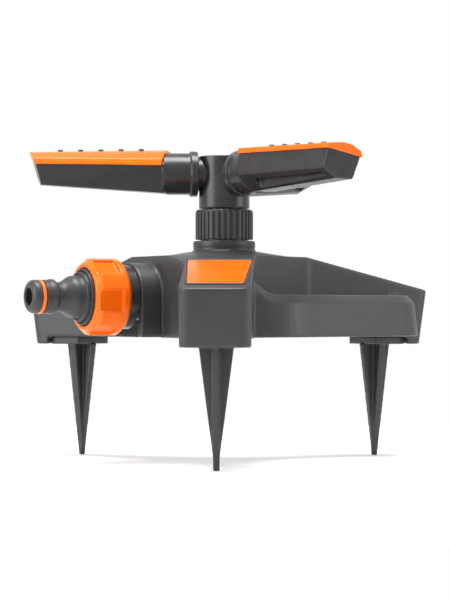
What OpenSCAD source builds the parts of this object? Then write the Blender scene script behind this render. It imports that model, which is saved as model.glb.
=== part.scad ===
// Rotary garden sprinkler: three spray arms on a three-legged base with ground spikes.
// Lengths are millimetres. The tower frame has its origin on the tower axis at the
// ground plane of the feet; place() moves it so that the part's own origin lies
// at the centre of its footprint, level with the spike tips.

/* [Base] */
// Distance from a leg's end back to its ground spike
spike_inset = 24.5; // [23.5:0.5:26]
// Reach of a leg from the tower axis, at the top corner of its end
leg_reach = 116.5; // [114:0.5:118]
// How far a leg's end leans back from its top corner to the ground
leg_lean = 4.5; // [3:0.5:6]
// Width of a leg
leg_w = 35; // [33:0.5:38]
// Height of the shell's deck above the ground
deck_h = 46.2; // [44:0.2:48]
// Rise of the deck towards the tower
deck_rise = 2.6; // [1.5:0.1:3.5]
// Height of a leg's top corner at its outer end
leg_end_h = 28.6; // [27:0.2:31]
// Distance from the axis to the web walls at the back and behind the handle
web_d = 35.3; // [34:0.1:38]
// Distance from the axis to the web wall that the inlet comes through
inlet_web_d = 44.4; // [42:0.2:47]
// Corner radius at the end of a leg
leg_corner = 5.5; // [3:0.5:7]
// Fillet between the web walls and the legs
web_fillet = 12; // [8:1:16]
// Wall thickness of the moulded shell
wall = 2.6; // [2.2:0.1:3]
// Height of the shell's skirt above the ground, between the feet
skirt_h = 4; // [3.5:0.5:5]
// Length of the foot at the end of a leg
foot_len = 14; // [10:1:15]
// Outside diameter of the tower socket
socket_d = 32.2; // [31.4:0.2:32.4]
// Outside diameter of the bead round the socket
bead_d = 32.8; // [32:0.2:34]
// Height of the bead's underside above the ground
bead_z = 51; // [50.6:0.1:51.4]
// Height of the bead
bead_h = 3.5; // [3:0.1:3.8]

/* [Handle] */
// Height of the handle's outer edge
handle_edge_h = 22; // [20:0.5:24]
// Rise of the handle's slanted rim
handle_rim_rise = 4; // [3:0.5:5]
// Width of the handle from its face to its inner lip
handle_w = 9; // [8:0.5:11]
// Wall thickness of the handle
handle_wall = 2.4; // [2:0.1:2.8]
// Distance from the tower axis at which the handle leaves the front leg
handle_root_r = 73; // [70:1:76]
// Length over which the handle's rim sweeps up to the front leg
handle_sweep = 14; // [12:1:18]
// Corner radius where the handle leaves the front leg
handle_bend_r = 38; // [30:1:44]
// Corner radius where the handle turns to the right leg
handle_turn_r = 24; // [18:1:28]
// Distance from the right leg's end back to the handle's corner
handle_inset = 17.5; // [16:0.5:19]
// Distance from the right leg's centre line to the handle's corner
handle_side = 41.5; // [38:0.5:42]

/* [Badge] */
// Distance from the deck's edge to the badge, along the slope
badge_start = 13.5; // [12:0.5:16]
// Distance from the badge to the leg's outer end, along the slope
badge_end = 9.6; // [8:0.1:12]
// Width of the badge at the tower end
badge_back_w = 32.6; // [30:0.2:33]
// Width of the badge at the outer end
badge_front_w = 27.4; // [25:0.2:29]
// Thickness of the badge
badge_t = 2; // [1.8:0.1:2.2]

/* [Spikes] */
// Length of a spike below the ground
spike_len = 60.4; // [50:0.2:70]
// Width of a spike at the ground
spike_w = 17.2; // [15:0.2:17.2]
// Thickness of a spike's ribs
spike_rib = 3.2; // [2.6:0.1:3.8]
// Length of the spike's flange along the leg
flange_len = 17.6; // [16:0.2:18.4]
// Width of the flange
flange_w = 28; // [25:0.5:28]
// Diameter of the stem that plugs into the leg
stem_d = 10; // [8:0.5:11]
// Height of the stem above the flange
stem_h = 20; // [16:1:21]

/* [Inlet] */
// Height of the inlet axis above the ground
inlet_h = 25; // [24:0.5:26]
// Radius of the arched boss round the inlet
boss_r = 17.6; // [17:0.1:18.4]
// Distance from the tower axis to the boss's end face
boss_end = 56.6; // [55:0.2:58]
// Outside diameter of the pipe inside the base
pipe_d = 25; // [24:0.5:25.5]
// Bore of the pipe
pipe_bore = 16.2; // [15.2:0.2:17]
// Major diameter of the inlet thread
thread_d = 33; // [32:0.1:33.2]
// Length of the inlet thread
thread_len = 16.8; // [15:0.2:18]
// Bore of the pipe's inlet arm
inlet_bore = 15.4; // [14.4:0.1:15.8]
// Height to which the riser stands above the ground
riser_top = 65; // [64:0.2:66]
// Distance from the axis to the screws that hold the pipe
lug_r = 21; // [20:0.5:22]
// Thickness of the lugs on the pipe
lug_t = 3.4; // [3:0.1:4]
// Diameter of a screw's thread
screw_d = 3.4; // [3:0.1:3.5]
// Diameter of a screw's head
screw_head_d = 7; // [6:0.2:7.4]

/* [Hose connector] */
// Outside diameter of the union nut
nut_d = 39.4; // [38.6:0.2:42]
// Length of the union nut
nut_len = 19.1; // [18:0.1:20]
// Number of grip pockets round the union nut
nut_pockets = 6; // [5:1:8]
// Hole in the front of the union nut
nut_hole_d = 30; // [29.6:0.1:31]
// Diameter of the connector's nose
nose_d = 17.2; // [16.8:0.1:17.6]
// Length of the connector's nose behind its tip
nose_len = 10.6; // [10.4:0.1:12]
// Bore of the connector
nose_bore = 9.2; // [8:0.2:10]
// Outside diameter of the sealing ring on the nose
nose_ring_d = 17.64; // [17.4:0.02:17.64]
// Diameter of the connector's neck
neck_d = 15; // [14:0.5:16]
// Diameter of the catch collar behind the nose
catch_d = 18; // [17.8:0.1:18.4]
// Distance from the union nut's face to the nose's tip
nose_reach = 30.3; // [29:0.1:33]

/* [Bearing] */
// Outside diameter of the ribbed collar
collar_d = 30.3; // [29.4:0.1:31]
// Height of the ribbed collar
collar_h = 15.9; // [15.5:0.1:16.4]
// Number of ribs round the collar
collar_ribs = 32; // [24:2:40]
// Depth of the collar's ribs
collar_rib_depth = 0.8; // [0.5:0.1:1]
// Thickness of the collar's inner lip
collar_lip = 1.7; // [1.4:0.1:2]
// Diameter of the spindle's neck
neck_shaft_d = 18.5; // [17.6:0.1:19]
// Diameter of the spindle's lower tube
shaft_d = 12; // [11:0.2:12.6]
// Bore of the spindle
shaft_bore = 8.6; // [7:0.2:9]

/* [Head] */
// Outside diameter of the rotor hub
hub_d = 26.6; // [26:0.1:27.4]
// Height of the hub's top above the ground
hub_top = 99; // [98.6:0.2:102]
// Height of the arm axes above the ground
arm_z = 89.6; // [88.6:0.1:90]
// Angle of the first arm at rest
head_angle = 68.9; // [0:0.1:119]
// Outside diameter of a spigot that carries an arm
spigot_d = 17; // [16:0.1:17.4]
// Bore of a spigot
spigot_bore = 11; // [9:0.5:11]

/* [Arms] */
// Distance from the tower axis to an arm's barrel
barrel_start = 14.4; // [14.4:0.1:15]
// Outside diameter of an arm's barrel
barrel_d = 21.8; // [21.4:0.1:22.2]
// Outside diameter of the flange on the barrel
barrel_flange_d = 23.9; // [23.4:0.1:24.4]
// Length of the flange on the barrel
barrel_flange_len = 3.8; // [3:0.1:5]
// Reach of an arm's cover from the tower axis
arm_reach = 101.6; // [98:0.2:106]
// Number of nozzles on an arm
nozzle_count = 5; // [3:1:6]
// Distance from the tower axis to the first nozzle
nozzle_first = 43.6; // [42:0.2:46]
// Spacing of the nozzles
nozzle_pitch = 10.6; // [8:0.1:10.8]
// Diameter of a nozzle's tip
nozzle_d = 2.8; // [2.2:0.1:3.2]
// Height of a nozzle above the cover
nozzle_proud = 1.1; // [0.6:0.1:1.6]
// Thickness of an arm's cover
cover_t = 2.2; // [1.8:0.1:2.4]

/* [Hidden] */
$fn = 72;

front_angle = 270;
right_angle = 30;
left_angle = 150;
inlet_angle = 210;
arm_step = 120;
arm_roll = 0;

// The footprint's centre lies behind the tower axis by this much
axis_y = 9.4;
dark_grey = "#4b4b4d";
mid_grey = "#5a5a5c";
orange = "#ff7a1c";
black = "#232325";
steel = "#b8bcc0";
white_plastic = "#e6e4dc";

running = 0.05;
fit = 0.1;
loose = 0.3;
over = 1;

leg_drop = deck_h - leg_end_h;
shoulder_r = (web_d - leg_w / 2 * sin(60)) / cos(60);
leg_slope = atan(leg_drop / (leg_reach - shoulder_r));
leg_foot_r = leg_reach - leg_lean;
spike_circle_r = leg_reach - spike_inset;
badge_len = (leg_reach - shoulder_r) / cos(leg_slope) - badge_start - badge_end;
lug_top = inlet_h + pipe_d / 2 - 4;
lug_under = lug_top - lug_t;
function leg_top(r) = deck_h - (r - shoulder_r) * tan(leg_slope);

bead_top = bead_z + bead_h;
collar_z = bead_top + 0.7;
collar_top = collar_z + collar_h;
lip_z = collar_top - collar_lip;
washer_t = 0.85;
washer_z = lip_z - running - washer_t;
shaft_flange_t = 2.1;
shaft_flange_z = washer_z - running - shaft_flange_t;
bush_flange_t = shaft_flange_z - fit - riser_top;
hub_z = collar_top + 0.5;
hub_socket_top = 84;
bush_z = 45;
seal_h = 3.4;
seal_z = bush_z - fit - seal_h;
shaft_z = seal_z - 1.5;

thread_start = boss_end + 0.2;
thread_end = thread_start + thread_len;
inlet_washer_t = 2.2;
inlet_washer_end = thread_end + inlet_washer_t;
tail_flange_t = 2.9;
tail_flange_end = inlet_washer_end + tail_flange_t;
nut_lip_z = tail_flange_end + fit;
nut_lip_t = 2.5;
nut_end = nut_lip_z + nut_lip_t;
nut_start = nut_end - nut_len;
nose_tip = nut_end + nose_reach;
filter_rim_d = 26;
filter_rim_t = 1.4;

module place() {
    translate([0, axis_y, spike_len]) children();
}

// Turns children so that their +Z runs outward along a heading at a height
module outward(angle, height) {
    translate([0, 0, height]) rotate([0, 0, angle]) rotate([0, 90, 0]) children();
}

module tube(d, bore, h) {
    difference() {
        cylinder(d = d, h = h);
        translate([0, 0, -over]) cylinder(d = bore, h = h + 2 * over);
    }
}

// A leg's side view, drawn as radius against height and given a width
module leg_profile(points, width) {
    rotate([90, 0, 0]) linear_extrude(height = width, center = true) polygon(points);
}

// Plan of a leg with rounded corners, whose end stands at a given reach
function leg_plan(reach) = concat(
    [[0, leg_w / 2]],
    corner([0, leg_w / 2], [reach, leg_w / 2], [reach, 0], leg_corner, 6),
    corner([reach, 0], [reach, -leg_w / 2], [0, -leg_w / 2], leg_corner, 6),
    [[0, -leg_w / 2]]);

module leg_outer() {
    top = deck_h + 4;
    low = [for (q = leg_plan(leg_foot_r)) [q[0], q[1], 0]];
    high = [for (q = leg_plan(leg_foot_r + leg_lean * top / leg_end_h)) [q[0], q[1], top]];
    intersection() {
        polyhedron(points = concat(low, high), faces = skin_faces(2, len(low)), convexity = 2);
        leg_profile([
            [0, skirt_h],
            [leg_foot_r - foot_len + leg_lean, skirt_h],
            [leg_foot_r - foot_len + leg_lean, -over],
            [leg_reach + 10, -over],
            [leg_reach + 10, leg_top(leg_reach + 10)],
            [shoulder_r, deck_h],
            [0, deck_h]], leg_w + 2);
    }
}

module leg_cavity() {
    leg_profile([
        [0, -over],
        [leg_foot_r - wall, -over],
        [leg_reach - wall, leg_end_h - wall],
        [shoulder_r - wall / 2, deck_h - wall],
        [0, deck_h - wall]], leg_w - 2 * wall);
}

// Corner points of the web wall that faces a heading, at a distance from the axis
function web_ends(heading, d, w) =
    let (t = (d - w / 2 * sin(60)) * tan(60) - w / 2 * cos(60))
    [for (s = [-1, 1]) [d * cos(heading) - s * t * sin(heading),
        d * sin(heading) + s * t * cos(heading)]];

// The walls run a little way into the legs, so that they cross and don't just meet
function cavity_plan(inset) = let (w = leg_w - 2 * inset - 1) concat(
    web_ends(front_angle + 60, web_d - inset, w),
    web_ends(right_angle + 60, web_d - inset, w),
    web_ends(inlet_angle, inlet_web_d - inset, w));

// A web wall's plan with a fillet at each end, sunk a hair into the legs
function web_run(heading, d) =
    let (ends = web_ends(heading, d, leg_w - 0.04),
        mid = (ends[0] + ends[1]) / 2,
        along = [for (s = [-1, 1]) [cos(heading + 60 * s), sin(heading + 60 * s)]],
        inner = web_ends(heading, d, leg_w - 4))
    concat([inner[0] + 6 * along[0]],
        corner(ends[0] + 30 * along[0], ends[0], mid, web_fillet, 5),
        corner(mid, ends[1], ends[1] + 30 * along[1], web_fillet, 5),
        [inner[1] + 6 * along[1]]);

function core_plan() = concat(
    web_run(front_angle + 60, web_d),
    web_run(right_angle + 60, web_d),
    web_run(inlet_angle, inlet_web_d));

// The space below the slopes of the legs, lowered by a depth
module under_slopes(depth) {
    far = 2 * leg_reach;
    intersection_for (a = [front_angle, right_angle, left_angle]) rotate([0, 0, a])
        leg_profile([
            [-far, -2 * over],
            [leg_reach, -2 * over],
            [leg_reach, leg_top(leg_reach) - depth + 0.01],
            [shoulder_r, deck_h - depth + 0.01],
            [-far, deck_h - depth + 0.01]], 2 * far);
}

// The inlet boss: a round arch on straight sides
module arch(r, from, to, bottom) {
    rotate([0, 0, inlet_angle]) translate([from, 0, 0]) rotate([90, 0, 90])
    linear_extrude(height = to - from) union() {
        translate([0, inlet_h]) circle(r);
        translate([-r, bottom]) square([2 * r, inlet_h - bottom]);
    }
}

// Points of a round corner at b, between the lines to a and c
function corner(a, b, c, r, steps) =
    let (u = (a - b) / norm(a - b),
        v = (c - b) / norm(c - b),
        half = acos(u * v) / 2,
        mid = b + (u + v) / norm(u + v) * r / sin(half),
        p = b + u * r / tan(half) - mid,
        q = b + v * r / tan(half) - mid,
        from = atan2(p[1], p[0]),
        turn = (atan2(q[1], q[0]) - from + 540) % 360 - 180)
    [for (i = [0 : steps]) mid + r * [cos(from + turn * i / steps), sin(from + turn * i / steps)]];

// Plan of the handle's outer face, from inside the front leg to inside the right leg
handle_from = [leg_w / 2 - 6, -handle_root_r];
handle_bend = [36, 6.2 - handle_root_r];
handle_turn = (leg_reach - handle_inset) * [cos(right_angle), sin(right_angle)]
    + handle_side * [sin(right_angle), -cos(right_angle)];
handle_to = handle_turn + (handle_side - leg_w / 2 + 7) * [-sin(right_angle), cos(right_angle)];
handle_path = concat([handle_from],
    corner(handle_from, handle_bend, handle_turn, handle_bend_r, 6),
    corner(handle_bend, handle_turn, handle_to, handle_turn_r, 9),
    [handle_to]);

// How far the handle's rim has risen at a distance past the front leg's side
function sweep_rise(x) = let (s = min(1, max(0, (x - leg_w / 2) / handle_sweep)))
    (leg_top(handle_root_r) - handle_edge_h - handle_rim_rise) * (1 - sqrt(1 - pow(1 - s, 2)));

// Section of the handle as inward distance and height
function handle_section(rise) = [
    [-1.2, skirt_h + 0.5],
    [0.8, handle_edge_h + rise],
    [handle_w / 2, handle_edge_h + handle_rim_rise + rise],
    [handle_w, handle_edge_h + handle_rim_rise + rise],
    [handle_w, handle_edge_h - 3 + rise],
    [handle_w - handle_wall, handle_edge_h - 3 + rise],
    [handle_w - handle_wall, handle_edge_h + handle_rim_rise - handle_wall + rise],
    [handle_w / 2 + 0.6, handle_edge_h + handle_rim_rise - handle_wall + rise],
    [0.8 + handle_wall, handle_edge_h - 1 + rise],
    [-1.2 + handle_wall, skirt_h + 0.5]];

// Triangles that join rings of points into one closed skin
function skin_faces(rings, n) = concat(
    [[for (i = [n - 1 : -1 : 0]) i]],
    [for (k = [0 : rings - 2], i = [0 : n - 1]) [k * n + i, (k + 1) * n + (i + 1) % n, (k + 1) * n + i]],
    [for (k = [0 : rings - 2], i = [0 : n - 1]) [k * n + i, k * n + (i + 1) % n, (k + 1) * n + (i + 1) % n]],
    [[for (i = [0 : n - 1]) (rings - 1) * n + i]]);

module handle() {
    last = len(handle_path) - 1;
    rings = [for (k = [0 : last])
        let (p = handle_path[k],
            along = handle_path[min(last, k + 1)] - handle_path[max(0, k - 1)],
            inward = [-along[1], along[0]] / norm(along))
        [for (q = handle_section(sweep_rise(p[0]))) [p[0] + q[0] * inward[0], p[1] + q[0] * inward[1], q[1]]]];
    polyhedron(points = [for (r = rings) each r], faces = skin_faces(last + 1, len(rings[0])), convexity = 6);
}

// Places children on a leg's slope: +X down the slope, +Z away from it
module on_slope(angle) {
    rotate([0, 0, angle]) translate([shoulder_r, 0, deck_h]) rotate([0, leg_slope, 0]) children();
}

module badge_outline(gap) {
    polygon([
        [badge_start - gap, -badge_back_w / 2 - gap],
        [badge_start + badge_len + gap, -badge_front_w / 2 - gap],
        [badge_start + badge_len + gap, badge_front_w / 2 + gap],
        [badge_start - gap, badge_back_w / 2 + gap]]);
}

socket_boss_d = stem_d + 5;
module base_shell() {
    color(dark_grey) place() union() {
        difference() {
            union() {
                intersection() {
                    translate([0, 0, skirt_h]) linear_extrude(height = deck_h - skirt_h) polygon(core_plan());
                    under_slopes(0);
                }
                for (a = [front_angle, right_angle, left_angle]) rotate([0, 0, a]) leg_outer();
                translate([0, 0, deck_h - over]) cylinder(d = socket_d, h = bead_top - deck_h + over);
                translate([0, 0, deck_h]) cylinder(r1 = web_d - over, r2 = socket_d / 2 + 2, h = deck_rise);
                translate([0, 0, bead_z]) cylinder(d = bead_d, h = bead_h);
                arch(boss_r, inlet_web_d - wall / 2, boss_end, skirt_h + 0.3);
                handle();
            }
            intersection() {
                translate([0, 0, -over]) linear_extrude(height = deck_h - wall + over) polygon(cavity_plan(wall));
                under_slopes(wall);
            }
            for (a = [front_angle, right_angle, left_angle]) rotate([0, 0, a]) leg_cavity();
            arch(boss_r - wall, web_d - wall - over, boss_end - wall, -over);
            arch(pipe_d / 2 + loose, boss_end - wall - over, boss_end + over, -over);
            cylinder(d = pipe_d + 2 * fit, h = bead_top + over);
            on_slope(front_angle) translate([0, 0, -badge_t + 0.4]) linear_extrude(height = badge_t) badge_outline(fit);
        }
        for (a = [front_angle, right_angle, left_angle]) rotate([0, 0, a]) difference() {
            intersection() {
                translate([spike_circle_r, 0, skirt_h]) cylinder(d = socket_boss_d, h = deck_h);
                translate([0, 0, -badge_t]) leg_outer();
            }
            translate([spike_circle_r, 0, 0]) cylinder(d = stem_d + 2 * fit, h = skirt_h + stem_h + 1);
        }
        for (s = [-1, 1]) rotate([0, 0, inlet_angle + s * 90]) translate([lug_r, 0, lug_top])
            tube(screw_head_d + 1, screw_d + fit, deck_h - wall / 2 - lug_top);
    }
}

module badge_plate() {
    color(orange) place() on_slope(front_angle) translate([0, 0, -badge_t + 0.4])
    linear_extrude(height = badge_t) badge_outline(0);
}

module pipe_elbow() {
    lug_w = screw_head_d + 1;
    color(mid_grey) place() difference() {
        union() {
            translate([0, 0, inlet_h - pipe_d / 2]) cylinder(d = pipe_d, h = riser_top - inlet_h + pipe_d / 2);
            outward(inlet_angle, inlet_h) cylinder(d = pipe_d - 1, h = thread_end);
            outward(inlet_angle, inlet_h) translate([0, 0, thread_start]) cylinder(d = thread_d, h = thread_len);
            for (s = [-1, 1]) rotate([0, 0, inlet_angle + s * 90]) translate([0, 0, lug_under]) {
                translate([0, -lug_w / 2, 0]) cube([lug_r, lug_w, lug_t]);
                translate([lug_r, 0, 0]) cylinder(d = lug_w + 1, h = lug_t);
            }
        }
        translate([0, 0, inlet_h]) cylinder(d = pipe_bore, h = riser_top);
        translate([0, 0, inlet_h]) sphere(d = pipe_bore);
        outward(inlet_angle, inlet_h) cylinder(d = inlet_bore, h = thread_end + over);
        outward(inlet_angle, inlet_h) translate([0, 0, thread_end - filter_rim_t - fit])
            cylinder(d = filter_rim_d + 2 * fit, h = filter_rim_t + over);
        for (s = [-1, 1]) rotate([0, 0, inlet_angle + s * 90]) translate([lug_r, 0, lug_under - over])
            cylinder(d = screw_d + 2 * loose, h = lug_t + 2 * over);
    }
}

module elbow_screws() {
    head_t = 2.2;
    slot_len = 0.68 * screw_head_d;
    slot_w = 1;
    color(steel) place() for (s = [-1, 1]) rotate([0, 0, inlet_angle + s * 90]) translate([lug_r, 0, lug_under]) {
        translate([0, 0, -head_t]) difference() {
            cylinder(d = screw_head_d, h = head_t);
            translate([-slot_len / 2, -slot_w / 2, -over]) cube([slot_len, slot_w, over + slot_w]);
            translate([-slot_w / 2, -slot_len / 2, -over]) cube([slot_w, slot_len, over + slot_w]);
        }
        cylinder(d = screw_d, h = deck_h - wall - 2.5 - lug_under);
    }
}

module inlet_filter() {
    cup_len = 11;
    cup_d = inlet_bore - 2 * loose;
    cup_wall = 1.2;
    color(white_plastic) place() outward(inlet_angle, inlet_h) difference() {
        union() {
            translate([0, 0, thread_end - filter_rim_t]) cylinder(d = filter_rim_d, h = filter_rim_t);
            translate([0, 0, thread_end - cup_len]) cylinder(d = cup_d, h = cup_len);
        }
        translate([0, 0, thread_end - cup_len + cup_wall]) cylinder(d = cup_d - 2 * cup_wall, h = cup_len);
        for (k = [0 : 5]) rotate([0, 0, k * 30]) translate([-cup_d, -0.8, thread_end - cup_len + 2])
            cube([2 * cup_d, 1.6, cup_len - 5]);
    }
}

module inlet_washer() {
    color(black) place() outward(inlet_angle, inlet_h) translate([0, 0, thread_end])
        tube(thread_d - 1, pipe_bore + 2, inlet_washer_t);
}

nose_groove_w = 2.6;
nose_ring_t = 2.2;
nose_ring_a = nose_tip - 5.9;
groove_r = nose_ring_d / 2 - nose_ring_t - 0.05;
module hose_connector() {
    tail_r = thread_d / 2 - loose;
    hub_r = nut_hole_d / 2 - 0.5;
    bell_r = 10.75;
    nose_back = nose_tip - nose_len;
    catch_len = 2.9;
    nose_round = 3;
    color(dark_grey) place() outward(inlet_angle, inlet_h) rotate_extrude() polygon(concat([
        [nose_bore / 2, inlet_washer_end],
        [tail_r, inlet_washer_end],
        [tail_r, tail_flange_end],
        [hub_r, tail_flange_end],
        [hub_r, nut_end + 0.4],
        [hub_r - 1.7, nut_end + 0.6],
        [hub_r - 1.9, nut_end + 2.3],
        [bell_r + 0.3, nut_end + 2.6],
        [bell_r, nut_end + 4.2],
        [bell_r, nut_end + 6.4]],
        [for (k = [1 : 8]) let (f = k / 8)
            [bell_r + (neck_d / 2 - bell_r) * (1 - cos(180 * f)) / 2, nut_end + 6.4 + f * 7.4]],
        [
        [neck_d / 2, nose_back - catch_len - 0.8],
        [catch_d / 2 - 0.3, nose_back - catch_len],
        [catch_d / 2, nose_back - catch_len + 0.6],
        [catch_d / 2, nose_back - 0.5],
        [nose_d / 2, nose_back],
        [nose_d / 2, nose_ring_a - nose_groove_w / 2],
        [groove_r, nose_ring_a - nose_groove_w / 2],
        [groove_r, nose_ring_a + nose_groove_w / 2],
        [nose_d / 2, nose_ring_a + nose_groove_w / 2]],
        [for (k = [0 : 6]) let (a = 15 * k)
            [nose_d / 2 - nose_round * (1 - cos(a)), nose_tip - nose_round * (1 - sin(a))]],
        [[nose_bore / 2, nose_tip]]));
}

module nose_ring() {
    color(orange) place() outward(inlet_angle, inlet_h) translate([0, 0, nose_ring_a])
    rotate_extrude() translate([(nose_ring_d - nose_ring_t) / 2, 0]) circle(d = nose_ring_t);
}

module union_nut() {
    rim_back = 5;
    rim_front = 1.9;
    chamfer = 2;
    front_chamfer = 3;
    pocket_w = 11;
    pocket_depth = 2;
    color(orange) place() outward(inlet_angle, inlet_h) difference() {
        translate([0, 0, nut_start]) rotate_extrude() polygon([
            [thread_d / 2 + 0.08, 0],
            [nut_d / 2 - chamfer, 0],
            [nut_d / 2, chamfer],
            [nut_d / 2, nut_len - front_chamfer],
            [nut_d / 2 - front_chamfer, nut_len],
            [nut_hole_d / 2, nut_len],
            [nut_hole_d / 2, nut_len - nut_lip_t],
            [thread_d / 2 + 0.08, nut_len - nut_lip_t]]);
        for (k = [0 : nut_pockets - 1]) rotate([0, 0, 360 / nut_pockets * k + 84])
            translate([nut_d / 2 - pocket_depth, -pocket_w / 2, nut_start + rim_back])
            cube([pocket_depth + over, pocket_w, nut_len - rim_back - rim_front]);
    }
}

module riser_seal() {
    color(black) place() translate([0, 0, seal_z]) tube(pipe_bore - 2 * running, shaft_d + 2 * running, seal_h);
}

module bearing_bush() {
    color(white_plastic) place() difference() {
        union() {
            translate([0, 0, bush_z]) cylinder(d = pipe_bore - 2 * running, h = riser_top - bush_z + bush_flange_t);
            translate([0, 0, riser_top]) cylinder(d = pipe_d - 1, h = bush_flange_t);
        }
        translate([0, 0, bush_z - over]) cylinder(d = shaft_d + 2 * running, h = riser_top - bush_z + 2 * over + bush_flange_t);
    }
}

module thrust_washer() {
    color(white_plastic) place() translate([0, 0, washer_z]) tube(pipe_d - 0.4, neck_shaft_d + 2 * running, washer_t);
}

module spindle() {
    color(mid_grey) place() difference() {
        union() {
            translate([0, 0, shaft_z]) cylinder(d = shaft_d, h = shaft_flange_z - shaft_z + over);
            translate([0, 0, shaft_flange_z]) cylinder(d = pipe_d - 0.6, h = shaft_flange_t);
            translate([0, 0, shaft_flange_z]) cylinder(d = neck_shaft_d, h = hub_z - shaft_flange_z);
            translate([0, 0, hub_z]) cylinder(d = neck_shaft_d - 0.5, h = hub_socket_top - hub_z);
        }
        translate([0, 0, shaft_z - over]) cylinder(d = shaft_bore, h = hub_top);
    }
}

// Outline of the collar: a rib and a groove for each step round it
function ribbed_ring(r, depth, count) = [for (k = [0 : count - 1], q = [[0.1, -1], [0.24, 0], [0.76, 0], [0.9, -1]])
    let (a = 360 * (k + q[0]) / count, d = r + q[1] * depth) [d * cos(a), d * sin(a)]];

module lock_collar() {
    color(dark_grey) place() difference() {
        translate([0, 0, collar_z]) linear_extrude(height = collar_h)
            polygon(ribbed_ring(collar_d / 2, collar_rib_depth, collar_ribs));
        translate([0, 0, collar_z - over]) cylinder(d = pipe_d + 2 * running, h = lip_z - collar_z + over);
        translate([0, 0, lip_z - over]) cylinder(d = neck_shaft_d + 2 * fit, h = collar_lip + 2 * over);
    }
}

spigot_end = 31;
seal_at = 27.4;
seal_t = 1.9;
barrel_bore = spigot_d + 2 * 0.06;
seal_mid_r = barrel_bore / 2 - 0.03 - seal_t / 2;
module hub() {
    cap_t = 3.4;
    color(dark_grey) place() difference() {
        union() {
            translate([0, 0, hub_z]) cylinder(d = hub_d, h = hub_top - hub_z);
            for (k = [0 : 2]) outward(head_angle + k * arm_step, arm_z) cylinder(d = spigot_d, h = spigot_end);
        }
        translate([0, 0, hub_z - over]) cylinder(d = neck_shaft_d - 0.5 + running, h = hub_socket_top - hub_z + over);
        translate([0, 0, hub_socket_top - over]) cylinder(d = neck_shaft_d - 2, h = hub_top - cap_t - hub_socket_top + over);
        for (k = [0 : 2]) outward(head_angle + k * arm_step, arm_z) {
            cylinder(d = spigot_bore, h = spigot_end + over);
            translate([0, 0, seal_at - seal_t / 2 - fit]) tube(spigot_d + over, 2 * (seal_mid_r - seal_t / 2) - 0.1, seal_t + 2 * fit);
        }
    }
}

module arm_seal(k) {
    color(black) place() outward(head_angle + k * arm_step, arm_z) translate([0, 0, seal_at])
    rotate_extrude() translate([seal_mid_r, 0]) circle(d = seal_t);
}

// Frame of an arm: +X outward, +Y to the left, +Z up, origin on the arm's axis
module arm_frame(k) {
    place() translate([0, 0, arm_z]) rotate([0, 0, head_angle + k * arm_step]) rotate([arm_roll, 0, 0]) children();
}

body_root_r = 29.9;
body_tip_r = arm_reach - 3.4;
root_skew = 0.32;
tip_lean = 0.277;
side_w = 10.5;
cover_back = 0.6;
// Sections of an arm's body as sideways distance and height
root_section = [[-side_w, 9.7], [-2, 10.2], [side_w, 4.5], [8.2, -10.3], [-4, -10.5], [-11.5, -1.6]];
tip_section = [[-side_w, 8.6], [-2, 8.9], [side_w, 4.9], [8, -6.4], [-3, -6.2], [-11.5, -1.3]];
function root_ring(section, back) = [for (q = section) [body_root_r - back + root_skew * q[0], q[0], q[1]]];
function tip_ring(section, ahead) = [for (q = section) [body_tip_r + ahead + tip_lean * q[1], q[0], q[1]]];
function between(a, b, f) = a + (b - a) * f;
// A section carried on past the root along the body's own lines
function behind(back) = [for (i = [0 : 5])
    between(root_section[i], tip_section[i], -back / (body_tip_r - body_root_r))];
// Height of the body's top ridge at a distance from the tower axis
function ridge(r) = between(root_section[1][1], tip_section[1][1], (r - body_root_r) / (body_tip_r - body_root_r));

module loft(first, second) {
    n = len(first);
    polyhedron(points = concat(first, second), faces = skin_faces(2, n), convexity = 4);
}

ridge_w = -2;
channel_d = 7;
strip_w = 5;
strip_z = 6.9;
strip_t = 1.3;
strip_from = nozzle_first - 4;
strip_len = nozzle_pitch * (nozzle_count - 1) + 8;
module arm_body(k) {
    slot_w = 3.6;
    color(dark_grey) arm_frame(k) difference() {
        union() {
            loft(root_ring(root_section, 0), tip_ring(tip_section, 0));
            intersection() {
                rotate([0, 90, 0]) translate([0, 0, barrel_start]) cylinder(d = barrel_d, h = barrel_d);
                translate([0, 0, -barrel_d]) linear_extrude(height = 2 * barrel_d) polygon([
                    [0, -barrel_d],
                    [body_root_r + cover_back - loose - root_skew * barrel_d, -barrel_d],
                    [body_root_r + cover_back - loose + root_skew * barrel_d, barrel_d],
                    [0, barrel_d]]);
            }
            rotate([0, 90, 0]) translate([0, 0, barrel_start]) cylinder(d = barrel_flange_d, h = barrel_flange_len);
        }
        rotate([0, 90, 0]) translate([0, 0, barrel_start - over]) cylinder(d = barrel_bore, h = spigot_end + 1.5 - barrel_start);
        rotate([0, 90, 0]) translate([0, 0, barrel_start]) cylinder(d = channel_d, h = body_tip_r - barrel_start - 6);
        translate([body_root_r + 8.5, -side_w + 1.4, -12]) cube([body_tip_r - body_root_r - 14.5, slot_w, 15]);
        translate([strip_from - fit, ridge_w - strip_w / 2 - fit, strip_z - fit]) cube([strip_len + 2 * fit, strip_w + 2 * fit, 12]);
        for (i = [0 : nozzle_count - 1]) translate([nozzle_first + i * nozzle_pitch, ridge_w, 0]) cylinder(d = 2, h = strip_z);
    }
}

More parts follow.
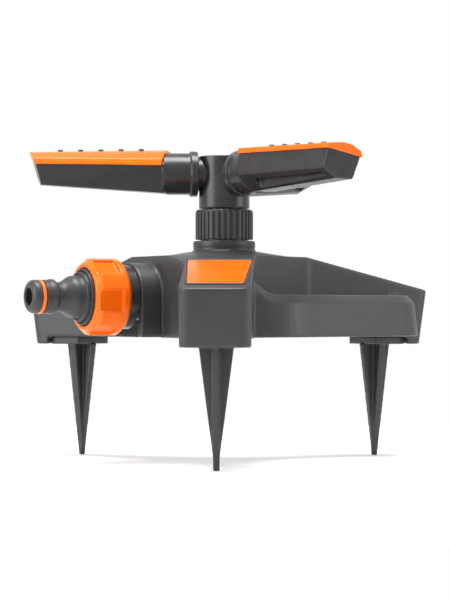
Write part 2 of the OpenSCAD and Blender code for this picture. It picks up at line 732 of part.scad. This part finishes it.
// Outline of the cover round the body's top: skirts on both sides and a crowned top
cover_root = [[-11.6, 9.3], [-11.2, 12.0], [-2, 12.6], [3.4, 11.2], [10, 7.4], [11.7, 3.9]];
cover_tip = [[-11.6, 8.4], [-11.2, 10.8], [-2, 11.3], [3.4, 10.5], [10, 7.4], [11.7, 4.2]];
body_grow = 0.15;
function grown(section) = [
    [section[0][0] - body_grow, section[0][1] + body_grow],
    [section[1][0], section[1][1] + body_grow],
    [section[2][0] + body_grow, section[2][1] + body_grow],
    [section[2][0] + body_grow, -14],
    [section[0][0] - body_grow, -14]];
module arm_cover(k) {
    color(orange) arm_frame(k) difference() {
        loft(root_ring(cover_root, -cover_back), tip_ring(cover_tip, 0.6));
        loft(root_ring(grown(behind(4)), 4), tip_ring(grown(tip_section), body_grow));
        for (i = [0 : nozzle_count - 1]) translate([nozzle_first + i * nozzle_pitch, ridge_w, strip_z])
            cylinder(d = nozzle_d + 2 * fit, h = 12);
    }
}

module arm_nozzles(k) {
    color(black) arm_frame(k) difference() {
        union() {
            translate([strip_from, ridge_w - strip_w / 2, strip_z]) cube([strip_len, strip_w, strip_t]);
            for (i = [0 : nozzle_count - 1]) translate([nozzle_first + i * nozzle_pitch, ridge_w, strip_z])
                cylinder(d = nozzle_d, h = ridge(nozzle_first + i * nozzle_pitch) + cover_t + nozzle_proud - strip_z);
        }
        for (i = [0 : nozzle_count - 1]) translate([nozzle_first + i * nozzle_pitch, ridge_w, strip_z - over])
            cylinder(d = 1, h = 12);
    }
}

module ground_spike(angle) {
    shank_end = 5;
    tip_w = 1.1;
    near_tip_w = 2.9;
    outline = [[-spike_w / 2, 0], [-near_tip_w / 2, shank_end - spike_len], [-tip_w / 2, -spike_len],
        [tip_w / 2, -spike_len], [near_tip_w / 2, shank_end - spike_len], [spike_w / 2, 0]];
    color(dark_grey) place() rotate([0, 0, angle]) translate([spike_circle_r, 0, 0]) union() {
        for (a = [0, 90]) rotate([90, 0, a]) linear_extrude(height = spike_rib, center = true) polygon(outline);
        translate([-flange_len / 2 + 1.2, -flange_w / 2, 0]) cube([flange_len, flange_w, skirt_h]);
        cylinder(d = stem_d, h = skirt_h + stem_h);
    }
}

base_shell();
badge_plate();
pipe_elbow();
elbow_screws();
inlet_filter();
inlet_washer();
hose_connector();
nose_ring();
union_nut();
riser_seal();
bearing_bush();
thrust_washer();
spindle();
lock_collar();
hub();
arm_body(0);  // arm_a
arm_body(1);  // arm_b
arm_body(2);  // arm_c
arm_cover(0);  // cover_a
arm_cover(1);  // cover_b
arm_cover(2);  // cover_c
arm_nozzles(0);  // nozzles_a
arm_nozzles(1);  // nozzles_b
arm_nozzles(2);  // nozzles_c
arm_seal(0);  // arm_seal_a
arm_seal(1);  // arm_seal_b
arm_seal(2);  // arm_seal_c
ground_spike(front_angle);  // spike_front
ground_spike(right_angle);  // spike_right
ground_spike(left_angle);  // spike_left
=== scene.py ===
import math

import bmesh
import bpy
from mathutils import Matrix, Vector


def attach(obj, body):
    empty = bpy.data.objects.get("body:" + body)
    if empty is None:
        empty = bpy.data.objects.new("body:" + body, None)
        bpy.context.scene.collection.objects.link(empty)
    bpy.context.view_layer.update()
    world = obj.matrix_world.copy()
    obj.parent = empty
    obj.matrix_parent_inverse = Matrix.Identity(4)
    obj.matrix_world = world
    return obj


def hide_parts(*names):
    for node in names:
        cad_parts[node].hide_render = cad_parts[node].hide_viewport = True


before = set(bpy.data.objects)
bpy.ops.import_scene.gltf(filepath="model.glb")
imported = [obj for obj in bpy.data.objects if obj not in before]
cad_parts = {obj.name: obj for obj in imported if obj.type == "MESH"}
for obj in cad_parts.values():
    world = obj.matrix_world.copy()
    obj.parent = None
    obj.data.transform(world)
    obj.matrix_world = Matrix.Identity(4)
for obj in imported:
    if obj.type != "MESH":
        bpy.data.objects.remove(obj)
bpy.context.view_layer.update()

# Sizes are millimetres in the tower frame: origin on the swivel axis, level with the ground.
TOWER_Y = 9.4
GROUND_Z = 60.4
INLET_ANGLE = 210
INLET_Z = 25.0
ARM_ANGLES = {"a": 68.9, "b": 188.9, "c": 308.9}
ARM_Z = 89.6


def place(x, y, z):
    """A point of the tower frame in the part's own frame, in metres."""
    return Vector((x / 1000, (y + TOWER_Y) / 1000, (z + GROUND_Z) / 1000))


TO_PART = Matrix.Translation(place(0, 0, 0)) @ Matrix.Scale(0.001, 4)


def frame_at(origin, x_axis, z_axis):
    """A matrix in millimetres that stands a piece at origin with its own X and Z axes turned so."""
    x = Vector(x_axis).normalized()
    z = Vector(z_axis).normalized()
    turn = Matrix((x, z.cross(x), z)).transposed().to_4x4()
    return Matrix.Translation(Vector(origin)) @ turn


def radial(angle, z):
    """The frame of what points outward: +Z runs outward along a heading, +X points down."""
    a = math.radians(angle)
    return frame_at((0, 0, z), (0, 0, -1), (math.cos(a), math.sin(a), 0))


def arm_frame(angle):
    """An arm's frame: +X outward, +Y to the left, +Z up."""
    a = math.radians(angle)
    return frame_at((0, 0, ARM_Z), (math.cos(a), math.sin(a), 0), (0, 0, 1))


# ---------------------------------------------------------------- nodes and materials

def linear(hex_colour):
    """sRGB hex to the linear values that the shader wants."""
    parts = [int(hex_colour[i:i + 2], 16) / 255 for i in (1, 3, 5)]
    return [p / 12.92 if p <= 0.04045 else ((p + 0.055) / 1.055) ** 2.4 for p in parts] + [1.0]


def add(tree, kind, settings=None, **links):
    """Adds a node, sets its properties and sockets, and links sockets given as (node, output).

    A socket without a name of its own goes by its number: 1 in settings, _1 among the links.
    """
    node = tree.nodes.new(kind)
    for key, value in (settings or {}).items():
        if isinstance(key, str) and hasattr(node, key):
            setattr(node, key, value)
        else:
            node.inputs[key].default_value = value
    for name, (source, output) in links.items():
        socket = int(name[1:]) if name[0] == "_" else name.replace("_", " ")
        tree.links.new(source.outputs[output], node.inputs[socket])
    return node


def math_node(tree, operation, settings=None, **links):
    """One step of arithmetic in a tree."""
    return add(tree, "ShaderNodeMath", {"operation": operation, **(settings or {})}, **links)


# The share of the noise's range in which nearly all of it lies
NOISE_LOW, NOISE_HIGH = 0.3, 0.7


def moulded(name, colour, deep, rough, grain_mm, bump_mm, mottle_mm=9.0, shine=0.5):
    """A moulded plastic or rubber: slight cloudiness in colour and gloss, and the tool's fine grain."""
    mat = bpy.data.materials.new(name)
    mat.use_nodes = True
    tree = mat.node_tree
    tree.nodes.clear()
    where = add(tree, "ShaderNodeTexCoord")
    cloud = add(tree, "ShaderNodeTexNoise", {"Scale": 1000 / mottle_mm, "Detail": 3.0}, Vector=(where, "Object"))
    tint = add(tree, "ShaderNodeValToRGB", Fac=(cloud, "Fac"))
    low, high = tint.color_ramp.elements
    low.color, low.position = linear(deep), NOISE_LOW
    high.color, high.position = linear(colour), NOISE_HIGH
    grain = add(tree, "ShaderNodeTexNoise", {"Scale": 1000 / grain_mm, "Detail": 2.0}, Vector=(where, "Object"))
    gloss = add(tree, "ShaderNodeMapRange", {"From Min": NOISE_LOW, "From Max": NOISE_HIGH, "To Min": rough - 0.04,
                                             "To Max": rough + 0.05}, Value=(cloud, "Fac"))
    relief = add(tree, "ShaderNodeBump", {"Strength": 0.5, "Distance": bump_mm / 1000}, Height=(grain, "Fac"))
    shader = add(tree, "ShaderNodeBsdfPrincipled", {"IOR": 1.5, "Specular IOR Level": shine},
                 Base_Color=(tint, "Color"), Roughness=(gloss, "Result"), Normal=(relief, "Normal"))
    add(tree, "ShaderNodeOutputMaterial", Surface=(shader, "BSDF"))
    return mat


def steel():
    """Zinc-plated steel: a fine grain in the gloss."""
    mat = bpy.data.materials.new("zinc_plated_steel")
    mat.use_nodes = True
    tree = mat.node_tree
    shader = tree.nodes["Principled BSDF"]
    shader.inputs["Metallic"].default_value = 1.0
    shader.inputs["Base Color"].default_value = linear("#B9BCC0")
    where = add(tree, "ShaderNodeTexCoord")
    grain = add(tree, "ShaderNodeTexNoise", {"Scale": 2200.0}, Vector=(where, "Object"))
    gloss = add(tree, "ShaderNodeMapRange", {"To Min": 0.25, "To Max": 0.42}, Value=(grain, "Fac"))
    tree.links.new(gloss.outputs["Result"], shader.inputs["Roughness"])
    return mat


# Injection-moulded ABS in charcoal, spark-eroded satin: soft wide highlights
grey_abs = moulded("charcoal_abs_satin", "#303032", "#2A2A2C", 0.42, 0.7, 0.02, shine=0.4)
# The same ABS on the rotor and arms, a little glossier
rotor_abs = moulded("charcoal_abs_gloss", "#2B2B2D", "#262628", 0.28, 0.7, 0.015, shine=0.35)
# Polished orange ABS: clear highlights, colour deep and even
orange_abs = moulded("orange_abs_gloss", "#F66A00", "#F06200", 0.22, 0.9, 0.008, mottle_mm=14.0, shine=0.25)
# Silicone of the nose's sealing ring: the same orange, with a soft sheen in place of clear highlights
orange_rubber = moulded("orange_silicone", "#F27006", "#E86604", 0.42, 0.5, 0.01)
# Seals inside the part: nearly black and dull
black_rubber = moulded("black_nitrile", "#1B1B1C", "#151516", 0.55, 0.5, 0.02)
# Soft nozzles: a paler grey than the arms, so that the tips stand out in the covers
nozzle_rubber = moulded("grey_nozzle_rubber", "#464648", "#3E3E40", 0.5, 0.5, 0.02)
# Acetal of the bush, washer and filter: milky white with a waxy gloss
white_pom = moulded("natural_acetal", "#E4E1D8", "#DDD9CE", 0.38, 0.6, 0.01)
zinc = steel()


# ---------------------------------------------------------------- mesh tools

def plain_mesh(bm):
    """The bmesh as a mesh. The bmesh is freed."""
    mesh = bpy.data.meshes.new("work")
    bm.to_mesh(mesh)
    bm.free()
    return mesh


def evaluated(obj):
    """The plain mesh that an object's modifiers give."""
    bpy.context.view_layer.update()
    return bpy.data.meshes.new_from_object(obj.evaluated_get(bpy.context.evaluated_depsgraph_get()))


def worked(mesh, put_on):
    """Puts modifiers on a throwaway object that holds the mesh, and returns the plain mesh that they give."""
    work = bpy.data.objects.new("work", mesh)
    bpy.context.scene.collection.objects.link(work)
    put_on(work)
    done = evaluated(work)
    bpy.data.objects.remove(work)
    bpy.data.meshes.remove(mesh)
    return done


# Edges that turn more than this many degrees stay sharp
SHARP_FROM = 50


def finish_piece(name, mesh, material, body, replaces):
    """Makes the piece: flat faces stay flat in the light, and only rounded edges shade across."""
    obj = bpy.data.objects.new(name, mesh)
    bpy.context.scene.collection.objects.link(obj)
    mesh.materials.clear()
    mesh.materials.append(material)
    mesh.shade_smooth()
    mesh.set_sharp_from_angle(angle=math.radians(SHARP_FROM))
    even = obj.modifiers.new("even_normals", "WEIGHTED_NORMAL")
    even.keep_sharp = True
    settled = evaluated(obj)
    obj.modifiers.remove(even)
    obj.data = settled
    bpy.data.meshes.remove(mesh)
    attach(obj, body)
    if replaces:
        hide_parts(*replaces)


def softened(node, grid_mm, passes, keep):
    """A node's shape as it leaves the mould: every edge eased.

    grid_mm sets how tight the edges stay, passes how far they are smoothed, and keep the share of faces left.
    """
    bm = bmesh.new()
    bm.from_mesh(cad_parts[node].data)
    bmesh.ops.remove_doubles(bm, verts=bm.verts, dist=2e-6)

    def put_on(work):
        skin = work.modifiers.new("skin", "REMESH")
        skin.mode = "VOXEL"
        skin.voxel_size = grid_mm / 1000
        skin.adaptivity = 0
        ease = work.modifiers.new("ease", "SMOOTH")
        ease.factor = 0.5
        ease.iterations = passes
        thin = work.modifiers.new("thin", "DECIMATE")
        thin.ratio = keep

    return worked(plain_mesh(bm), put_on)


def dress(node, material, body, grid_mm, passes, keep):
    """The piece that shows for a CAD node."""
    finish_piece("shown_" + node, softened(node, grid_mm, passes, keep), material, body, (node,))


def circle(radius, z, count):
    """Points round the Z axis."""
    return [(radius * math.cos(t), radius * math.sin(t), z) for t in
            (2 * math.pi * k / count for k in range(count))]


def turned(profile, segments):
    """A closed outline of (radius, height) in mm turned about Z."""
    bm = bmesh.new()
    rings = [[bm.verts.new(p) for p in circle(r, z, segments)] for r, z in profile]
    for one, two in zip(rings, rings[1:] + rings[:1]):
        for k in range(segments):
            j = (k + 1) % segments
            bm.faces.new((one[k], one[j], two[j], two[k]))
    return bm


def closed_loop(bm, points):
    """A closed line of edges through the points."""
    loop = [bm.verts.new(p) for p in points]
    for one, two in zip(loop, loop[1:] + loop[:1]):
        bm.edges.new((one, two))


# A corner whose half angle comes this near to straight isn't rounded, and an arc takes at most this share of a side
STRAIGHT, SIDE_SHARE = 88, 0.49


def rounded(points, radius, steps=4):
    """An outline with each corner that has a radius turned into an arc."""
    done = []
    count = len(points)
    for i, (point, r) in enumerate(zip(points, radius)):
        b = Vector(point)
        u = Vector(points[i - 1]) - b
        v = Vector(points[(i + 1) % count]) - b
        half = u.angle(v) / 2
        if not r or half > math.radians(STRAIGHT):
            done.append(b)
            continue
        cut = min(r / math.tan(half), SIDE_SHARE * u.length, SIDE_SHARE * v.length)
        one, two = b + u.normalized() * cut, b + v.normalized() * cut
        for k in range(steps + 1):
            f = k / steps
            done.append(one * (1 - f) ** 2 + b * 2 * f * (1 - f) + two * f ** 2)
    return done


# ---------------------------------------------------------------- Geometry Nodes

def new_tree(name, sizes):
    """A Geometry Nodes tree with named inputs for its sizes."""
    tree = bpy.data.node_groups.new(name, "GeometryNodeTree")
    tree.interface.new_socket("Geometry", in_out="INPUT", socket_type="NodeSocketGeometry")
    for label, kind in sizes:
        tree.interface.new_socket(label, in_out="INPUT", socket_type="NodeSocket" + kind)
    tree.interface.new_socket("Material", in_out="INPUT", socket_type="NodeSocketMaterial")
    tree.interface.new_socket("Geometry", in_out="OUTPUT", socket_type="NodeSocketGeometry")
    return tree, add(tree, "NodeGroupInput")


def close_tree(tree, given, joined):
    """Ends a tree in real geometry with its material."""
    real = add(tree, "GeometryNodeRealizeInstances", Geometry=joined)
    dressed = add(tree, "GeometryNodeSetMaterial", Geometry=(real, "Geometry"), Material=(given, "Material"))
    add(tree, "NodeGroupOutput", Geometry=(dressed, "Geometry"))


def grown(tree, bm, values, matrix):
    """Runs a tree on a mesh in mm and returns its plain mesh in the part's frame."""
    bmesh.ops.recalc_face_normals(bm, faces=bm.faces)

    def put_on(work):
        mod = work.modifiers.new(tree.name, "NODES")
        mod.node_group = tree
        for item in tree.interface.items_tree:
            if item.in_out == "INPUT" and item.name in values:
                mod[item.identifier] = values[item.name]

    done = worked(plain_mesh(bm), put_on)
    done.transform(TO_PART @ matrix)
    return done


def ring_step(tree, given):
    """A turn about Z that grows by a share of the circle with each copy."""
    index = add(tree, "GeometryNodeInputIndex")
    share = math_node(tree, "DIVIDE", {0: 2 * math.pi}, _1=(given, "Count"))
    angle = math_node(tree, "MULTIPLY", _0=(index, 0), _1=(share, 0))
    return add(tree, "ShaderNodeCombineXYZ", Z=(angle, 0))


def rib_ring_tree():
    """Upright ribs round a collar, each a rounded bar whose head bends in over the collar's shoulder."""
    tree, given = new_tree("rib_ring", [("Count", "Int"), ("Radius", "Float"), ("Foot", "Float"), ("Head", "Float"),
                                        ("Head Round", "Float"), ("Bar", "Float")])
    low = add(tree, "ShaderNodeCombineXYZ", X=(given, "Radius"), Z=(given, "Foot"))
    neck_z = math_node(tree, "SUBTRACT", _0=(given, "Head"), _1=(given, "Head Round"))
    neck = add(tree, "ShaderNodeCombineXYZ", X=(given, "Radius"), Z=(neck_z, 0))
    inner = math_node(tree, "SUBTRACT", _0=(given, "Radius"), _1=(given, "Head Round"))
    bend = add(tree, "ShaderNodeCombineXYZ", X=(given, "Radius"), Z=(given, "Head"))
    head = add(tree, "ShaderNodeCombineXYZ", X=(inner, 0), Z=(given, "Head"))
    stem = add(tree, "GeometryNodeCurvePrimitiveLine", Start=(low, 0), End=(neck, 0))
    crook = add(tree, "GeometryNodeCurveQuadraticBezier", {"Resolution": 5}, Start=(neck, 0), Middle=(bend, 0),
                End=(head, 0))
    half = math_node(tree, "MULTIPLY", {1: 0.5}, _0=(given, "Bar"))
    section = add(tree, "GeometryNodeCurvePrimitiveCircle", {"Resolution": 12}, Radius=(half, 0))
    bars = add(tree, "GeometryNodeJoinGeometry")
    for line in (stem, crook):
        bar = add(tree, "GeometryNodeCurveToMesh", {"Fill Caps": True}, Curve=(line, "Curve"),
                  Profile_Curve=(section, "Curve"))
        tree.links.new(bar.outputs["Mesh"], bars.inputs["Geometry"])
    spots = add(tree, "GeometryNodeMeshLine", {"Offset": (0, 0, 0)}, Count=(given, "Count"))
    copies = add(tree, "GeometryNodeInstanceOnPoints", Points=(spots, "Mesh"), Instance=(bars, "Geometry"),
                 Rotation=(ring_step(tree, given), 0))
    both = add(tree, "GeometryNodeJoinGeometry", Geometry=(copies, "Instances"))
    tree.links.new(given.outputs["Geometry"], both.inputs["Geometry"])
    close_tree(tree, given, (both, "Geometry"))
    return tree


def bead_tree(name):
    """A round bead laid along the seed's own edges."""
    tree, given = new_tree(name, [("Bead", "Float")])
    path = add(tree, "GeometryNodeMeshToCurve", Mesh=(given, "Geometry"))
    section = add(tree, "GeometryNodeCurvePrimitiveCircle", {"Resolution": 10}, Radius=(given, "Bead"))
    bead = add(tree, "GeometryNodeCurveToMesh", {"Fill Caps": True}, Curve=(path, "Curve"),
               Profile_Curve=(section, "Curve"))
    close_tree(tree, given, (bead, "Mesh"))
    return tree


def row_tree(name):
    """Copies of the seed along a straight row."""
    tree, given = new_tree(name, [("Count", "Int"), ("Pitch", "Float"), ("Fall", "Float")])
    step = add(tree, "ShaderNodeCombineXYZ", X=(given, "Pitch"), Z=(given, "Fall"))
    spots = add(tree, "GeometryNodeMeshLine", Count=(given, "Count"), Offset=(step, 0))
    copies = add(tree, "GeometryNodeInstanceOnPoints", Points=(spots, "Mesh"), Instance=(given, "Geometry"))
    close_tree(tree, given, (copies, "Instances"))
    return tree


# ---------------------------------------------------------------- pieces inside: the CAD's own, in their materials

looks = {
    "pipe_elbow": rotor_abs, "spindle": rotor_abs, "elbow_screws": zinc,
    "inlet_filter": white_pom, "bearing_bush": white_pom, "thrust_washer": white_pom,
    "inlet_washer": black_rubber, "riser_seal": black_rubber,
}
for k in ARM_ANGLES:
    looks["arm_seal_" + k] = black_rubber
for node, material in looks.items():
    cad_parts[node].data.materials.clear()
    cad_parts[node].data.materials.append(material)

# ---------------------------------------------------------------- mouldings that show

dress("base_shell", grey_abs, "base", 0.75, 3, 0.45)
dress("badge_plate", orange_abs, "base", 0.4, 3, 0.3)
for side in ("front", "right", "left"):
    dress("spike_" + side, grey_abs, "base", 0.4, 1, 0.5)
dress("hose_connector", grey_abs, "connector", 0.35, 1, 0.5)
dress("nose_ring", orange_rubber, "connector", 0.25, 1, 0.5)
dress("union_nut", orange_abs, "nut", 0.4, 3, 0.5)
dress("hub", rotor_abs, "head", 0.4, 3, 0.5)

# Collar: a plain ring under its ribs. Its sizes are the source's collar sizes.
COLLAR_Z, COLLAR_H, COLLAR_R, COLLAR_BORE_R = 55.2, 15.9, 15.15, 12.6
LIP_R, LIP_T = 9.4, 1.7
RIB_COUNT, RIB_DEPTH, RIB_BAR, RIB_FOOT, RIB_HEAD, RIB_ROUND = 32, 0.8, 1.7, 0.1, 0.86, 1.3
collar_top = COLLAR_Z + COLLAR_H
core_r = COLLAR_R - RIB_DEPTH
core_outline = [(COLLAR_BORE_R, COLLAR_Z), (core_r, COLLAR_Z), (core_r, collar_top), (LIP_R, collar_top),
                (LIP_R, collar_top - LIP_T), (COLLAR_BORE_R, collar_top - LIP_T)]
core = turned(rounded(core_outline, (0.3, 0.4, 1.6, 0.4, 0, 0)), 96)
ribbed = grown(rib_ring_tree(), core,
               {"Count": RIB_COUNT, "Radius": COLLAR_R - RIB_BAR / 2, "Foot": COLLAR_Z + RIB_FOOT,
                "Head": collar_top - RIB_HEAD, "Head Round": RIB_ROUND, "Bar": RIB_BAR, "Material": grey_abs},
               Matrix.Identity(4))
finish_piece("ribbed_collar", ribbed, grey_abs, "collar", ("lock_collar",))

# Badge rim: a bead of the shell's own plastic round the plate. Its outline is the source's badge outline.
SHOULDER_R, DECK_H, LEG_REACH, LEG_END_H = 40.29, 46.2, 116.5, 28.6
BADGE = {"start": 13.5, "end": 9.6, "back_w": 32.6, "front_w": 27.4, "gap": 0.55, "bead": 0.55, "lift": 0.12}
BADGE_CORNERS = (1.2, 2.4, 2.4, 1.2)
slope = math.atan((DECK_H - LEG_END_H) / (LEG_REACH - SHOULDER_R))
slope_frame = frame_at((0, -SHOULDER_R, DECK_H), (0, -math.cos(slope), -math.sin(slope)),
                       (0, -math.sin(slope), math.cos(slope)))
badge_from = BADGE["start"] - BADGE["gap"]
badge_to = (LEG_REACH - SHOULDER_R) / math.cos(slope) - BADGE["end"] + BADGE["gap"]
half_back, half_front = BADGE["back_w"] / 2 + BADGE["gap"], BADGE["front_w"] / 2 + BADGE["gap"]
rim_path = rounded([(badge_from, -half_back), (badge_to, -half_front), (badge_to, half_front),
                    (badge_from, half_back)], BADGE_CORNERS, 6)
rim = bmesh.new()
closed_loop(rim, [(p[0], p[1], BADGE["lift"]) for p in rim_path])
badge_rim = grown(bead_tree("badge_rim"), rim, {"Bead": BADGE["bead"], "Material": grey_abs}, slope_frame)
finish_piece("badge_rim", badge_rim, grey_abs, "base", ())

# Two fine steps on the rim of the connector's bell, as radius and distance out along the inlet's axis
RIM_STEPS = ((13.9, 82.1), (12.3, 83.8))
RIM_BEAD = 0.5
steps = bmesh.new()
for radius, out in RIM_STEPS:
    closed_loop(steps, circle(radius, out, 96))
rim_steps = grown(bead_tree("rim_steps"), steps, {"Bead": RIM_BEAD, "Material": grey_abs},
                  radial(INLET_ANGLE, INLET_Z))
finish_piece("rim_steps", rim_steps, grey_abs, "connector", ())

# Nozzles: a soft strip under each cover with a domed tip through each hole. Sizes are the source's nozzle sizes.
NOZZLES = {"first": 43.6, "pitch": 10.6, "count": 5, "side": -2.0, "strip_z": 6.9, "tip_r": 1.4, "bore_r": 0.5,
           "tip_root": 0.2, "tip_h": 6.3, "strip_w": 5.0, "strip_t": 1.3, "strip_end": 4.0, "strip_edge": 0.3,
           "fall": -0.2}
TIP_CORNERS = (0, 0, 0.7, 0.15)


def nozzle_strip(tips, matrix):
    """The flat strip that carries the tips, joined with them into one moulding."""
    bm = bmesh.new()
    low = Vector((NOZZLES["first"] - NOZZLES["strip_end"], NOZZLES["side"] - NOZZLES["strip_w"] / 2,
                  NOZZLES["strip_z"]))
    size = Vector((NOZZLES["pitch"] * (NOZZLES["count"] - 1) + 2 * NOZZLES["strip_end"], NOZZLES["strip_w"],
                   NOZZLES["strip_t"]))
    bmesh.ops.create_cube(bm, size=1.0)
    for v in bm.verts:
        v.co = low + Vector((size[i] * (v.co[i] + 0.5) for i in range(3)))
    bmesh.ops.bevel(bm, geom=bm.edges[:], offset=NOZZLES["strip_edge"], segments=2, affect="EDGES", profile=0.5)
    bm.transform(TO_PART @ matrix)
    bm.from_mesh(tips)
    bpy.data.meshes.remove(tips)
    return plain_mesh(bm)


nozzle_row = row_tree("nozzle_row")
tip_outline = [(NOZZLES["bore_r"], NOZZLES["tip_root"]), (NOZZLES["tip_r"], NOZZLES["tip_root"]),
               (NOZZLES["tip_r"], NOZZLES["tip_h"]), (NOZZLES["bore_r"], NOZZLES["tip_h"])]
for k, heading in ARM_ANGLES.items():
    body = "arm_" + k
    tip = turned(rounded(tip_outline, TIP_CORNERS), 24)
    tip.transform(Matrix.Translation((NOZZLES["first"], NOZZLES["side"], NOZZLES["strip_z"])))
    tips = grown(nozzle_row, tip, {"Count": NOZZLES["count"], "Pitch": NOZZLES["pitch"], "Fall": NOZZLES["fall"],
                                   "Material": nozzle_rubber}, arm_frame(heading))
    finish_piece("nozzle_strip_" + k, nozzle_strip(tips, arm_frame(heading)), nozzle_rubber, body,
                 ("nozzles_" + k,))
    dress("arm_" + k, rotor_abs, body, 0.4, 2, 0.45)
    dress("cover_" + k, orange_abs, body, 0.35, 2, 0.5)

# ---------------------------------------------------------------- stage, light and camera

scene = bpy.context.scene
scene.view_settings.view_transform = "Standard"

PLAIN_WHITE = (1, 1, 1, 1)
# Strength of the even light from all round
AMBIENT = 0.3
# The floor lies a little under the spike tips. Lengths are metres.
FLOOR_HALF, FLOOR_DROP = 4, 0.0004
FLOOR_COLOUR, FLOOR_LIFT = (0.9, 0.9, 0.9, 1), 0.3
# From here to there the floor's shadow gives way to plain white
FADE_FROM, FADE_TO = 0.12, 0.5


def seen_as_backdrop(tree):
    """1 where the camera, a reflection or a look through something meets the backdrop, else 0."""
    path = add(tree, "ShaderNodeLightPath")
    one = math_node(tree, "MAXIMUM", _0=(path, "Is Camera Ray"), _1=(path, "Is Glossy Ray"))
    return math_node(tree, "MAXIMUM", _0=(one, 0), _1=(path, "Is Transmission Ray"))


world = bpy.data.worlds.new("studio")
scene.world = world
world.use_nodes = True
wt = world.node_tree
wt.nodes.clear()
plain = add(wt, "ShaderNodeBackground", {"Color": PLAIN_WHITE, "Strength": AMBIENT})
white = add(wt, "ShaderNodeBackground", {"Color": PLAIN_WHITE, "Strength": 1.0})
mix = add(wt, "ShaderNodeMixShader", _0=(seen_as_backdrop(wt), 0), _1=(plain, 0), _2=(white, 0))
add(wt, "ShaderNodeOutputWorld", Surface=(mix, 0))

floor_mesh = bpy.data.meshes.new("floor")
floor_mesh.from_pydata([(-FLOOR_HALF, -FLOOR_HALF, 0), (FLOOR_HALF, -FLOOR_HALF, 0), (FLOOR_HALF, FLOOR_HALF, 0),
                        (-FLOOR_HALF, FLOOR_HALF, 0)], [], [(0, 1, 2, 3)])
floor = bpy.data.objects.new("floor", floor_mesh)
scene.collection.objects.link(floor)
floor.location.z = -FLOOR_DROP
floor_mat = bpy.data.materials.new("pale_floor")
floor_mat.use_nodes = True
ft = floor_mat.node_tree
ft.nodes.clear()
# Near the object the floor takes its shadow, and farther out it goes over to plain white
where = add(ft, "ShaderNodeTexCoord")
reach = add(ft, "ShaderNodeVectorMath", {"operation": "LENGTH"}, Vector=(where, "Object"))
away = add(ft, "ShaderNodeMapRange", {"interpolation_type": "SMOOTHSTEP", "From Min": FADE_FROM,
                                      "From Max": FADE_TO}, Value=(reach, "Value"))
matt = add(ft, "ShaderNodeBsdfDiffuse", {"Color": FLOOR_COLOUR})
lift = add(ft, "ShaderNodeEmission", {"Color": PLAIN_WHITE, "Strength": FLOOR_LIFT})
both = add(ft, "ShaderNodeAddShader", _0=(matt, 0), _1=(lift, 0))
glow = add(ft, "ShaderNodeEmission", {"Color": PLAIN_WHITE, "Strength": 1.0})
fade = add(ft, "ShaderNodeMixShader", _0=(away, "Result"), _1=(both, 0), _2=(glow, 0))
pick = add(ft, "ShaderNodeMixShader", _0=(seen_as_backdrop(ft), 0), _1=(matt, 0), _2=(fade, 0))
add(ft, "ShaderNodeOutputMaterial", Surface=(pick, 0))
floor_mesh.materials.append(floor_mat)

# Softboxes, all turned to the middle of the object: place and size in metres, power in watts
SOFTBOXES = {
    "overhead": ((0.0, -0.08, 1.45), (0.9, 0.7), 34),
    "left_key": ((-1.2, -0.6, 0.5), (0.8, 1.0), 16),
    "right_fill": ((1.35, -0.25, 0.45), (0.6, 0.9), 7),
}
centre = place(0, 0, 50)
for name, (where, size, power) in SOFTBOXES.items():
    lamp = bpy.data.lights.new(name, "AREA")
    lamp.shape = "RECTANGLE"
    lamp.size, lamp.size_y = size
    lamp.energy = power
    box = bpy.data.objects.new(name, lamp)
    scene.collection.objects.link(box)
    box.location = where
    box.rotation_euler = (centre - Vector(where)).to_track_quat("-Z", "Y").to_euler()

# The photograph's camera, level, as solved from the legs, spikes and tower
CAMERA_FAR, CAMERA_UP, CAMERA_TURN = 1288, 17.25, 2.4
turn = math.radians(CAMERA_TURN)
camera_data = bpy.data.cameras.new("camera")
camera_data.sensor_width = 36
camera_data.lens = 146.94
camera_data.shift_x = 0.00125
camera_data.shift_y = 0.02
camera_data.clip_start = 0.05
camera_data.clip_end = 20
camera = bpy.data.objects.new("camera", camera_data)
scene.collection.objects.link(camera)
camera.location = place(CAMERA_FAR * math.sin(turn), -CAMERA_FAR * math.cos(turn), CAMERA_UP)
camera.rotation_euler = (math.radians(90), 0, turn)
scene.camera = camera
